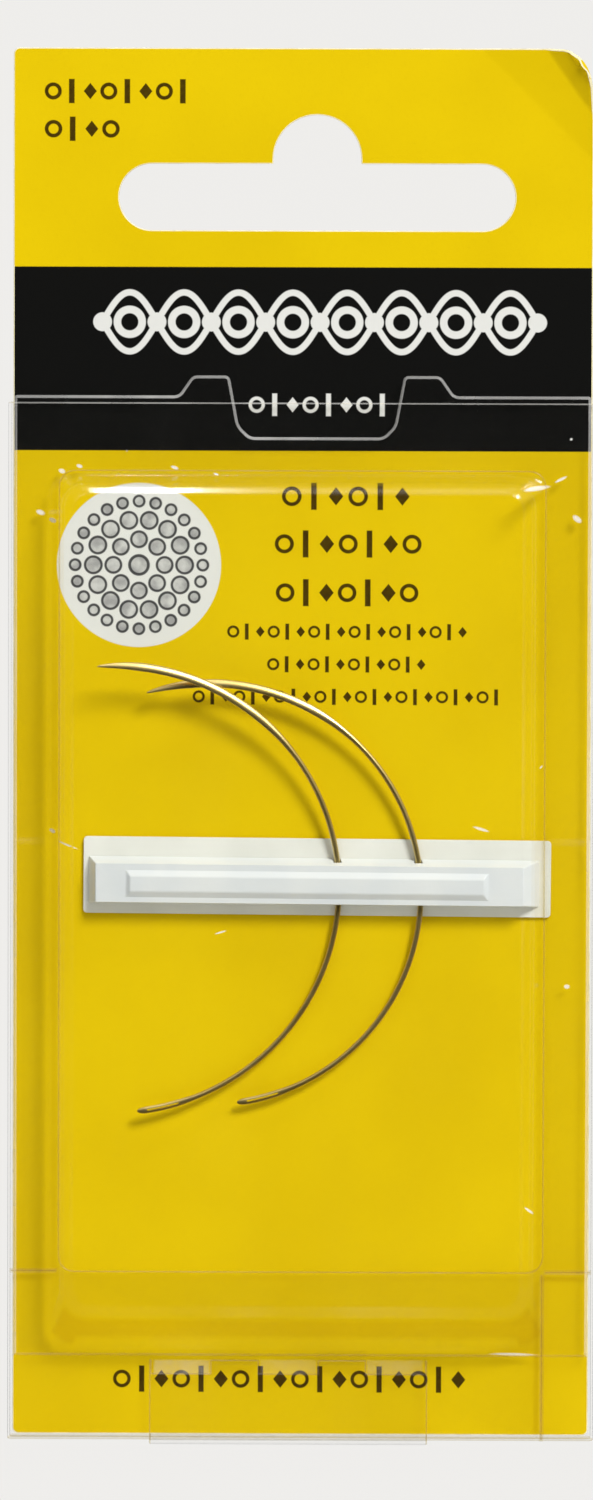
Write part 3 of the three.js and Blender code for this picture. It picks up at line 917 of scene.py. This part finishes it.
# %% [markdown]
# ## The cover
#
# The cover is one sheet, heated and drawn over a block to raise its cavity. It starts as a flat
# leaf. Its top strip is cut at the places where the ears and the thumb notch turn, and those points
# are slid up and down. Lower down, the cavity's foot is marked with cut lines, pushed forward, and
# drawn in so that its walls lean. Bevels round the drawn corners, and Solidify gives the sheet its
# thickness. The slope at the cavity's foot came out of the forming a little wavy.

# %% Cover outline
cover_low, cover_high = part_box("blister_cover")
COVER_SHEET = 0.3
COVER_FOOT, COVER_HEAD = 6.4, 83.35
EAR_RISE = 1.6
NOTCH_DROP = 3.3
EAR_TURNS = [(11, 0), (9.9, EAR_RISE), (6.95, EAR_RISE), (6.2, 0.9 - NOTCH_DROP), (5.3, -NOTCH_DROP)]
EAR_SPAN, EAR_ROUND = 15, 0.35
STRIP_LINE = 79.0


def cover_outline():
    inner_y = cover_high.y
    cover = leaf("clear_cover", cover_low.x, cover_high.x, up(COVER_FOOT), up(COVER_HEAD), inner_y)
    with editing(cover):
        cut_level(cover, STRIP_LINE)
        for reach, _ in EAR_TURNS:
            for side in (-1, 1):
                cut_upright(cover, SLOT_MIDDLE + side * reach, lambda m, f: m.z > up(STRIP_LINE))
        for reach, rise in EAR_TURNS:
            pick(cover, "verts", lambda m, v: close_to(m.z, up(COVER_HEAD))
                 and abs(from_middle(m, SLOT_MIDDLE) - reach) < 0.02)
            slide(z=rise)
        pick(cover, "faces", lambda m, f: m.z > up(STRIP_LINE))
        bpy.ops.mesh.dissolve_faces()
        pick(cover, "verts", lambda m, v: m.z > up(STRIP_LINE + 0.1)
             and from_middle(m, SLOT_MIDDLE) < EAR_SPAN)
        bpy.ops.mesh.bevel(offset=EAR_ROUND * MM, segments=3, affect="VERTICES")
    return cover


clear_cover = cover_outline()
report(clear_cover)

# %% [markdown]
# The cavity is drawn up from the flange. Extruding the marked area and sliding it forward gives the
# walls, and resizing it about a chosen middle leans each wall by its own run. The corners between the
# walls get wide bevels, as sheet can't be drawn sharp, and the rim round the front gets a flat chamfer
# with soft edges, which is the face that catches the light overhead.

# %% Cover cavity
CAVITY_LEFT, CAVITY_RIGHT = -20.1, 19.5
CAVITY_FOOT, CAVITY_HEAD = 7.2, 76.85
SIDE_RUN, FOOT_RUN, TOP_RUN = 1.4, 3.0, 0.75
WALL_CORNER, RIM_CHAMFER, RIM_SOFT, FLANGE_BEND = 1.7, 0.55, 0.14, 0.3


def draw_cavity(cover):
    depth = (cover_high.y - cover_low.y) / MM - COVER_SHEET
    wide, tall = CAVITY_RIGHT - CAVITY_LEFT, CAVITY_HEAD - CAVITY_FOOT
    narrower = 1 - 2 * SIDE_RUN / wide
    shorter = 1 - (FOOT_RUN + TOP_RUN) / tall
    still = CAVITY_HEAD - TOP_RUN / (1 - shorter)
    with editing(cover):
        for z in (CAVITY_FOOT, CAVITY_HEAD):
            cut_level(cover, z, lambda m, f: m.z < up(STRIP_LINE))
        for x in (CAVITY_LEFT, CAVITY_RIGHT):
            cut_upright(cover, x, lambda m, f: up(CAVITY_FOOT) < m.z < up(CAVITY_HEAD))
        pick(cover, "faces", lambda m, f: up(CAVITY_FOOT) < m.z < up(CAVITY_HEAD)
             and from_middle(m) < 5)
        extrude(y=-depth)
        bpy.ops.transform.resize(
            value=(narrower, 1, shorter),
            center_override=(across((CAVITY_LEFT + CAVITY_RIGHT) / 2), 0, up(still)),
        )
        front = cover_high.y - depth * MM
        round_edges(cover, WALL_CORNER, 6, along_y)
        for width, segments, place in (
            (RIM_CHAMFER, 1, lambda m: close_to(m.y, front)),
            (RIM_SOFT, 3, lambda m: m.y < cover_high.y - 1.5 * MM),
            (FLANGE_BEND, 3, lambda m: close_to(m.y, cover_high.y)),
        ):
            round_edges(cover, width, segments, lambda m, e: place(m) and e.calc_face_angle(0) > 0.3)
    return front


cavity_front = draw_cavity(clear_cover)
report(clear_cover)

# %% [markdown]
# The finished sheet keeps two marks of its making and use: a crease across both side flanges at the
# height of the bar, where the pack has been squeezed, and the waves in the lower slope. Both are in
# the mesh, because they show as bright and dark lines that follow the light. A wave has its height in
# millimetres, its turn in radians over a millimetre, and its start. Then each face takes its finish,
# and the outer edges are rounded wide in front, which makes the cover's pale outline.

# %% Cover creases and waves
CREASE_HEIGHT, CREASE_REACH, CREASE_RISE = 47.75, 0.25, 0.13
FLANK, OUTER_FLANK = 18, 22
EAR_LINE = 79.5
WAVE_HALF_WIDTH = 17
WAVE_FOOT, WAVE_HEAD = CAVITY_FOOT + 0.35, CAVITY_FOOT + FOOT_RUN - 0.4
WAVE_LIFT = 0.2
WAVES = [(0.12, 0.55, 0.7), (0.18, 0.23, -1.1)]
DIM_FOOT, DIM_HEAD = 8.2, 9.6
FOLD, SHADED_SLOPE, RIM = 2, 3, 4


def crease_flanges(cover):
    with editing(cover):
        for line in (-1, 0, 1):
            cut_level(cover, CREASE_HEIGHT + line * CREASE_REACH, lambda m, f: f.normal.y < -0.99
                      and close_to(m.y, cover_high.y) and from_middle(m) > FLANK)
        found = pick(cover, "verts", lambda m, v: close_to(m.z, up(CREASE_HEIGHT))
                     and close_to(m.y, cover_high.y))
        slide(y=-CREASE_RISE)
    return found


def wave_slope(cover, front):
    """Ripples the slope between the cavity's foot and its front."""
    with editing(cover):
        def on_slope(m, f):
            return f.normal.z < -0.4 and f.normal.y < -0.2 and from_middle(m) < WAVE_HALF_WIDTH

        for column in range(-16, 17, 2):
            cut_upright(cover, column - 0.3, on_slope)
        foot_z, front_z = up(WAVE_FOOT), up(WAVE_HEAD)
        for share in (0.25, 0.5, 0.75):
            cut(cover, (0, 0, foot_z + (front_z - foot_z) * share), (0, 0, 1), on_slope)
        mesh = bmesh.from_edit_mesh(cover.data)
        moved = [v for v in mesh.verts if foot_z < v.co.z < front_z
                 and front * 0.98 < v.co.y < cover_high.y * 1.1 and from_middle(v.co) < WAVE_HALF_WIDTH]
        for v in moved:
            x = (v.co.x - across(0)) / MM
            lift = sum((high * math.sin(x * rate + start) for high, rate, start in WAVES), WAVE_LIFT)
            share = (v.co.z - foot_z) / (front_z - foot_z)
            v.co.y -= lift * MM * math.sin(math.pi * share)
        bmesh.update_edit_mesh(cover.data)
        return len(moved)


print("creased points:", crease_flanges(clear_cover))
print("rippled points:", wave_slope(clear_cover, cavity_front))


def cover_finish_of(face):
    """Bends and the crease are whitened a little by strain and painted brighter as highlights, and the
    slope's middle is tinted darker as painted shade.
    """
    forward = -face.normal.y
    creased = (from_middle(face.center) > FLANK and forward > 0.8
               and close_to(face.center.z, up(CREASE_HEIGHT), CREASE_REACH))
    bent = 0.86 < forward < 0.985 and face.center.y < cover_high.y - 0.05 * MM
    if up(CAVITY_FOOT + 0.5) < face.center.z < up(CAVITY_FOOT + FOOT_RUN) and forward < 0.97:
        return SHADED_SLOPE if up(DIM_FOOT) < face.center.z < up(DIM_HEAD) and face.normal.z < -0.3 else FACE
    return FOLD if creased or bent else FACE


def on_outline(m):
    """Whether an edge is on the outer side of the sheet and at its outline, not in a bend."""
    at_outline = from_middle(m) > OUTER_FLANK or m.z > up(EAR_LINE) or m.z < up(COVER_FOOT + 0.1)
    return m.y < cover_high.y - COVER_SHEET / 2 * MM and at_outline


wear(clear_cover, [clear_nicked, clear_edge, clear_fold, clear_slope, clear_rim], cover_finish_of)
modify(clear_cover, "SOLIDIFY", thickness=COVER_SHEET * MM, offset=1, use_even_offset=True,
       material_offset_rim=EDGE)
clear_piece(clear_cover, "cover", "blister_cover", 0.23, on_outline)
at_foot = [p for p in clear_cover.data.polygons
           if p.material_index == EDGE and p.center.z < up(COVER_FOOT + 0.2)]
for polygon in at_foot:
    polygon.material_index = RIM
print("faces of the foot's edge:", len(at_foot))

# %% [markdown]
# ## The tongue and its live hinge
#
# A tongue of the same sheet is folded under the card and up its back, and carries the cover. Three
# short slots are cut where it bends, so that only narrow webs do when the cover is opened. The
# tongue starts as the front leg, whose lower edge is pulled back under the card and up behind it.
# The webs are a piece of their own, between the tongue and the cover.

# %% Tongue
tongue_low, tongue_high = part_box("hinge_tongue")
HINGE_PITCH = 8.6
HINGE_SLOT_WIDTH = 4.7
HINGE_SLOT_HEIGHT = 1.1
TONGUE_FRONT_HEAD = 6.1
TONGUE_BEND = 0.25
TONGUE_MIDDLE = ((tongue_low.x + tongue_high.x) / 2 - PAGE_MIDDLE) / MM
HINGE_SLOTS = [TONGUE_MIDDLE + i * HINGE_PITCH for i in (-1, 0, 1)]


def open_slots(obj, test=anywhere):
    """Cuts the faces that pass a test at both sides of each slot, and deletes what lies between."""
    for middle_x in HINGE_SLOTS:
        for side in (-1, 1):
            cut_upright(obj, middle_x + side * HINGE_SLOT_WIDTH / 2, test)
    pick(obj, "faces", lambda m, f: test(m, f) and any(close_to(m.x, across(x), 1) for x in HINGE_SLOTS))
    bpy.ops.mesh.delete(type="FACE")


def make_tongue():
    sheet = COVER_SHEET * MM
    front, back = tongue_low.y + sheet, tongue_high.y - sheet
    foot = tongue_low.z + sheet
    tongue = leaf("clear_tongue", tongue_low.x, tongue_high.x, foot, up(TONGUE_FRONT_HEAD), front)
    with editing(tongue):
        pick(tongue, "edges", lambda m, e: close_to(m.z, foot))
        extrude(y=(back - front) / MM)
        extrude(z=(tongue_high.z - foot) / MM)
        round_edges(tongue, TONGUE_BEND, 4, lambda m, e: close_to(m.z, foot) and along_x(m, e))
        foot_of_slots = TONGUE_FRONT_HEAD - HINGE_SLOT_HEIGHT
        cut_level(tongue, foot_of_slots, lambda m, f: f.normal.y < -0.9 and m.y < 0)
        open_slots(tongue, lambda m, f: m.y < 0 and m.z > up(foot_of_slots))
    wear(tongue, [clear_face, clear_rim])
    modify(tongue, "SOLIDIFY", thickness=sheet, offset=1, use_even_offset=True, material_offset_rim=EDGE)
    clear_piece(tongue, "pack", "hinge_tongue", 0.1)


make_tongue()

# %% [markdown]
# The webs could be drawn on to the tongue or the cover, but then they would tear when the cover opens.
# So they are a piece of their own, cut across many times into rows.

# %% Hinge webs
WEB_SHEET = 0.14
WEB_FOOT, WEB_HEAD = 5.7, 6.8
WEB_ROWS = 11


def make_webs():
    depth = tongue_low.y + COVER_SHEET * 0.75 * MM
    webs = leaf("hinge_webs", tongue_low.x, tongue_high.x, up(WEB_FOOT), up(WEB_HEAD), depth)
    with editing(webs):
        open_slots(webs)
        for step in range(1, WEB_ROWS):
            cut_level(webs, WEB_FOOT + (WEB_HEAD - WEB_FOOT) * step / WEB_ROWS)
    wear(webs, [clear_face, clear_rim])
    modify(webs, "SOLIDIFY", thickness=WEB_SHEET * MM, offset=0, material_offset_rim=EDGE)
    smooth(webs)
    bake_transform(webs)
    report(webs)


make_webs()

# %% [markdown]
# ## The needle holder
#
# A thin strip of white film is taped to the card, and a raised bar that grips the needles is welded
# to it. White plastic is never quite even, so its finish has faint clouds, a satin sheen and small
# rubs on what stands proud.

# %% White plastic
def white_finish(name, colour, shade, roughness):
    white = Recipe(name)
    clouds = white.noise(4, 3)
    fine = white.noise(0.4, 2)
    specks = white.specks(3.5, 0.13, 0.2)
    tone = white.layered(colour, (clouds.ranged(0.3, 0.75), shade), (specks * 0.4, (0.35, 0.33, 0.28)))
    relief = white.bump(fine + clouds * 0.6, 0.015, 0.5)
    return white.done(white.plain(Base_Color=tone, Roughness=roughness + fine * 0.12, Normal=relief))


white_film = white_finish("white_film", (0.78, 0.79, 0.72), (0.72, 0.73, 0.66), 0.42)
white_bar = white_finish("white_bar", (0.70, 0.73, 0.72), (0.64, 0.68, 0.69), 0.3)

# %% [markdown]
# The strip was stuck on slightly askew, its right end low. Each piece of the holder is modelled
# straight, where its edges are easy to pick, and is turned about the strip's middle at the end. The
# turn is an edit-mode one about a given centre, so the object itself stays unturned.

# %% Strip
strip_low, strip_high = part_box("holder_strip")
HOLDER_MIDDLE = (1.25, 44.895)
HOLDER_TURN = 0.42
STRIP = (-17.45, 19.95, 41.82, 47.97)
STRIP_CORNER, STRIP_EDGE_SOFT = 0.3, 0.06


def lay_askew(obj):
    centre = (across(HOLDER_MIDDLE[0]), 0, up(HOLDER_MIDDLE[1]))
    with editing(obj):
        bpy.ops.mesh.select_all(action="SELECT")
        bpy.ops.transform.rotate(
            value=math.radians(-HOLDER_TURN), orient_axis="Y", center_override=centre)


def make_strip():
    strip = page_block("white_strip", *STRIP, strip_low.y, strip_high.y)
    with editing(strip):
        round_edges(strip, STRIP_CORNER, 4, along_y)
    soften(strip, STRIP_EDGE_SOFT, 2, 50)
    lay_askew(strip)
    wear(strip, [white_film])
    smooth(strip)
    hand_over(strip, "pack", "holder_strip")


make_strip()

# %% [markdown]
# ## The needles
#
# A curved beading needle is drawn wire. One end is flattened and slotted for its eye, the other is
# flattened to a narrow blade and ground to a point, and the whole is then bent to part of a circle.
# It is modelled in that order. The blank is a ring pulled along and resized at each station. The blade
# is rolled a little about the wire, a step at a time, which is why its flat catches the light. Then
# the eye is carved, and a Simple Deform bends it last. The CAD joints say where each circle's middle
# is and which way its plane leans, so the bent needle lies exactly where it slides.

# %% Needle blank
NEEDLE_LENGTH = 56.0
WIRE = 0.45
POINT_LENGTH = 3.5
BLADE_START, BLADE_FULL = 37.0, 43.0
BLADE = (0.7, 0.3)
EYE_LAND = (0.56, 0.34)
EYE_SLOT = (0.8, 3.4, 0.14)
EYE_END = 4.7
BLADE_ROLL = 20
ROLL_STEPS = 8
STATIONS = [0.02, 0.08, 0.2, 0.4, 0.6, 0.8]
STATIONS += [1.6 + 0.8 * i for i in range(64)]
STATIONS += [52.5 + 0.35 * i for i in range(10)] + [55.82, 55.92, 55.98]


def eased(value, low, high):
    share = min(max((value - low) / (high - low), 0), 1)
    return share * share * (3 - 2 * share)


def needle_section(along):
    """Half width and half thickness at a distance from the eye end, in millimetres."""
    eye = 1 - eased(along, EYE_SLOT[1], EYE_END)
    blade = eased(along, BLADE_START, BLADE_FULL)
    tip = min(max((NEEDLE_LENGTH - along) / POINT_LENGTH, 0), 1) ** 0.5
    butt = min(max(along / EYE_SLOT[0], 0), 1)
    narrowing = max(math.sqrt(butt * (2 - butt)) * tip, 0.03)
    return [
        (WIRE + eye * (EYE_LAND[i] - WIRE) + blade * (BLADE[i] - WIRE)) / 2 * narrowing for i in (0, 1)
    ]


def make_blank():
    choose()
    first = needle_section(STATIONS[0])
    start = (STATIONS[0] - NEEDLE_LENGTH / 2) * MM
    bpy.ops.mesh.primitive_circle_add(vertices=24, radius=MM, fill_type="NGON",
                                      location=(start, 0, 0), rotation=(0, math.pi / 2, 0))
    blank = named("needle_blank")
    with editing(blank):
        bpy.ops.mesh.select_all(action="SELECT")
        bpy.ops.transform.resize(value=(1, first[0], first[1]), center_override=(start, 0, 0))
        last = (STATIONS[0], first)
        for along in STATIONS[1:]:
            section = needle_section(along)
            extrude(x=along - last[0])
            bpy.ops.transform.resize(
                value=(1, section[0] / last[1][0], section[1] / last[1][1]),
                center_override=(0, 0, 0),
            )
            last = (along, section)
        for step in range(ROLL_STEPS):
            along = BLADE_START + (BLADE_FULL - BLADE_START) * (step + 0.5) / ROLL_STEPS
            pick(blank, "verts", lambda m, v: m.x > (along - NEEDLE_LENGTH / 2) * MM)
            bpy.ops.transform.rotate(value=math.radians(-BLADE_ROLL / ROLL_STEPS), orient_axis="X",
                                     center_override=(0, 0, 0))
        bpy.ops.mesh.select_all(action="SELECT")
        bpy.ops.mesh.normals_make_consistent(inside=False)
    eye_start, eye_end, eye_width = EYE_SLOT
    tool = block(
        "eye_tool",
        Vector((eye_start - NEEDLE_LENGTH / 2, -eye_width / 2, -1)) * MM,
        Vector((eye_end - NEEDLE_LENGTH / 2, eye_width / 2, 1)) * MM,
    )
    with editing(tool):
        round_edges(tool, eye_width * 0.49, 4, along_z)
    carve(blank, tool)
    report(blank)
    return blank


needle_blank = make_blank()

# %% [markdown]
# The wire is drawn and plated. It looks warm, almost brass, because it mirrors the yellow card on all
# sides, and that reflection is painted into its colour: a satin metal of that tone, a painted
# reflection, with faint rubs.

# %% Steel with the card's reflection painted in
def steel_with_painted_reflection():
    steel = Recipe("bright_plate")
    rubs = steel.noise(0.7, 3, 0.6)
    haze = steel.noise(5, 2)
    # Painted reflection: the warm tone stands for the yellow card mirrored in the steel.
    tone = steel.layered(
        (0.68, 0.53, 0.21),
        (haze.ranged(0.35, 0.7), (0.57, 0.43, 0.14)),
        (rubs.ranged(0.6, 0.85, 0, 0.3), (0.4, 0.28, 0.08)),
    )
    return steel.done(steel.plain(
        Base_Color=tone,
        Metallic=0.92,
        Roughness=0.29 + rubs * 0.08,
        Normal=steel.bump(rubs, 0.002, 0.4),
    ))


steel_finish = steel_with_painted_reflection()

# %% [markdown]
# One blank serves both needles. Each copy gets a mesh of its own and is bent to its own radius: a
# longer reach bends the same wire less. A bend that Simple Deform makes is a true circle, so it is
# only laid on the joint's circle with the joint's leaning plane.

# %% Bent needles
JOINTS = {joint["name"]: joint for joint in frame["joints"]}
NEEDLES = [
    ("curved_needle_left", "needle_left", "left_needle", "left_needle_slide", 17.96, -84.2),
    ("curved_needle_right", "needle_right", "right_needle", "right_needle_slide", 16.91, -82.4),
]


def circle_frame(joint):
    """The leaning plane of a needle's circle: its middle, across, up and face."""
    face = Vector(joint["axis"]).normalized()
    rising = face.cross(Vector((1, 0, 0))).normalized()
    sideways = rising.cross(face)
    turn = Matrix((sideways, rising, face)).transposed().to_4x4()
    return Matrix.Translation(joint["pos_m"]) @ turn


def lay_on_circle(obj, length, joint, radius, halfway):
    """Bends a straight piece that lies along X, and lays it on a needle's circle, at an angle."""
    modify(obj, "SIMPLE_DEFORM", deform_method="BEND", deform_axis="Z", angle=length / radius)
    out = Vector((math.cos(halfway), math.sin(halfway), 0))
    along = Vector((-out.y, out.x, 0))
    turn = Matrix((along, -out, Vector((0, 0, 1)))).transposed().to_4x4()
    obj.data.transform(circle_frame(JOINTS[joint]) @ Matrix.Translation(out * radius * MM) @ turn)


def bend_needle(name, node, body, joint, radius, low_end):
    needle = needle_blank.copy()
    needle.data = needle_blank.data.copy()
    needle.name = needle.data.name = name
    scene.collection.objects.link(needle)
    halfway = math.radians(low_end) + NEEDLE_LENGTH / 2 / radius
    lay_on_circle(needle, NEEDLE_LENGTH, joint, radius, halfway)
    wear(needle, [steel_finish])
    smooth(needle, 50)
    hand_over(needle, body, node)
    low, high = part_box(node)
    print("its CAD size:", [round(v / MM, 2) for v in high - low])


for row in NEEDLES:
    bend_needle(*row)
bpy.data.objects.remove(needle_blank)

# %% [markdown]
# ## The bar
#
# The bar is a moulding with a steep foot, a sloping head and ends, and a low ridge along its face. It
# starts as a block whose front face is fitted to a smaller rectangle, then extruded and fitted again
# for the ridge. Its edges are softened before the needles' ways are cut through it. Each way is
# carved with a bent tool that lies on the needle's own circle, so the openings fit closely round the
# wire and the needle can still slide.

# %% Bar
bar_low, bar_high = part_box("holder_bar")
BAR = (-17.05, 19.05, 42.64, 46.41)
BAR_FACE = (-16.45, 17.75, 42.79, 45.89)
RIDGE_FOOT = (-13.99, 14.91, 43.21, 45.37)
RIDGE_FACE = (-13.69, 14.61, 43.69, 44.89)
RIDGE_DEPTH = 0.3
BAR_EDGE_SOFT = 0.1
NEEDLE_ROOM = 0.325
WAY_LENGTH = 8.0
WAY_STEPS = 8


def fit_selected(obj, left, right, foot, head):
    """Fits what is selected to a rectangle on the page."""
    spots = [v.co for v in bmesh.from_edit_mesh(obj.data).verts if v.select]
    low, high = (Vector([f(spot[i] for spot in spots) for i in range(3)]) for f in (min, max))
    bpy.ops.transform.resize(
        value=((right - left) * MM / (high.x - low.x), 1, (head - foot) * MM / (high.z - low.z)),
        center_override=(low + high) / 2,
    )
    slide(x=(left + right) / 2 - ((low.x + high.x) / 2 - across(0)) / MM,
          z=(foot + head) / 2 - ((low.z + high.z) / 2 - up(0)) / MM)


def needle_way(joint, radius):
    """A bent tool that leaves room for a needle, open towards the strip."""
    half = WAY_LENGTH / 2
    tool = block("way_tool", Vector((-half, -NEEDLE_ROOM, -2 * NEEDLE_ROOM)) * MM,
                 Vector((half, NEEDLE_ROOM, NEEDLE_ROOM)) * MM)
    with editing(tool):
        for step in range(1, WAY_STEPS):
            cut(tool, ((step / WAY_STEPS - 0.5) * WAY_LENGTH * MM, 0, 0), (1, 0, 0))
    lay_on_circle(tool, WAY_LENGTH, joint, radius, 0)
    spread = [round(f(v.co.y for v in tool.data.vertices) / MM, 2) for f in (min, max)]
    print("needle's way, front and back:", spread)
    return tool


def make_bar():
    bar = page_block("needle_bar", *BAR, bar_low.y + RIDGE_DEPTH * MM, bar_high.y)
    with editing(bar):
        pick(bar, "faces", lambda m, f: f.normal.y < -0.9)
        fit_selected(bar, *BAR_FACE)
        extrude()
        fit_selected(bar, *RIDGE_FOOT)
        extrude(y=-RIDGE_DEPTH)
        fit_selected(bar, *RIDGE_FACE)
    soften(bar, BAR_EDGE_SOFT, 3, 20)
    lay_askew(bar)
    carve(bar, *[needle_way(joint, radius) for _, _, _, joint, radius, _ in NEEDLES])
    wear(bar, [white_bar])
    smooth(bar)
    hand_over(bar, "pack", "holder_bar")


make_bar()

# %% [markdown]
# ## The tape under the strip
#
# Thin double-sided tape holds the strip. It is a little smaller than the strip and lies behind it, so
# its CAD solid is kept and gets an adhesive film's finish: cream, a little cloudy, with trapped air.

# %% Tape
def tape_finish():
    tape = Recipe("tape_glue")
    air = tape.specks(1.2, 0.4, 0.4)
    clouds = tape.noise(2.5, 3)
    tone = tape.layered(
        (0.7, 0.68, 0.58),
        (clouds.ranged(0.3, 0.7), (0.62, 0.58, 0.44)),
        (air * 0.5, (0.82, 0.82, 0.78)),
    )
    relief = tape.bump(clouds, 0.01, 0.5)
    return tape.done(tape.plain(Base_Color=tone, Roughness=0.55 + clouds * 0.2, Normal=relief))


wear(frame["nodes"]["holder_tape"], [tape_finish()])

# %% [markdown]
# ## The floor
#
# The pack hangs from a peg, so the floor lies well below it, where the opened cover can't reach. It
# is plain and pale, keeps a soft shadow, and fades to nothing away from the pack, so that no edge
# shows against the world and the clear plastic doesn't mirror it.

# %% Floor
FLOOR_HEIGHT = -0.17
FLOOR_SPAN = 1.0
FADE_START, FADE_END = 0.12, FLOOR_SPAN * 0.48


def make_floor():
    choose()
    bpy.ops.mesh.primitive_plane_add(size=FLOOR_SPAN, location=(0, 0, FLOOR_HEIGHT))
    floor = named("floor")
    pale = Recipe("pale_floor")
    x, y = pale.split(pale.metres(), "XY")
    away = (x * x + y * y).root().ranged(FADE_START, FADE_END)
    clouds = pale.noise(60, 2)
    matt = pale.plain(Base_Color=(0.84, 0.83, 0.81), Roughness=0.8 + clouds * 0.1)
    nothing = pale.node("ShaderNodeBsdfTransparent")
    faded = away.greater(pale.ray("Glossy"))
    shown = pale.node("ShaderNodeMixShader", {0: faded, 1: matt, 2: nothing})
    wear(floor, [pale.done(shown)])


make_floor()
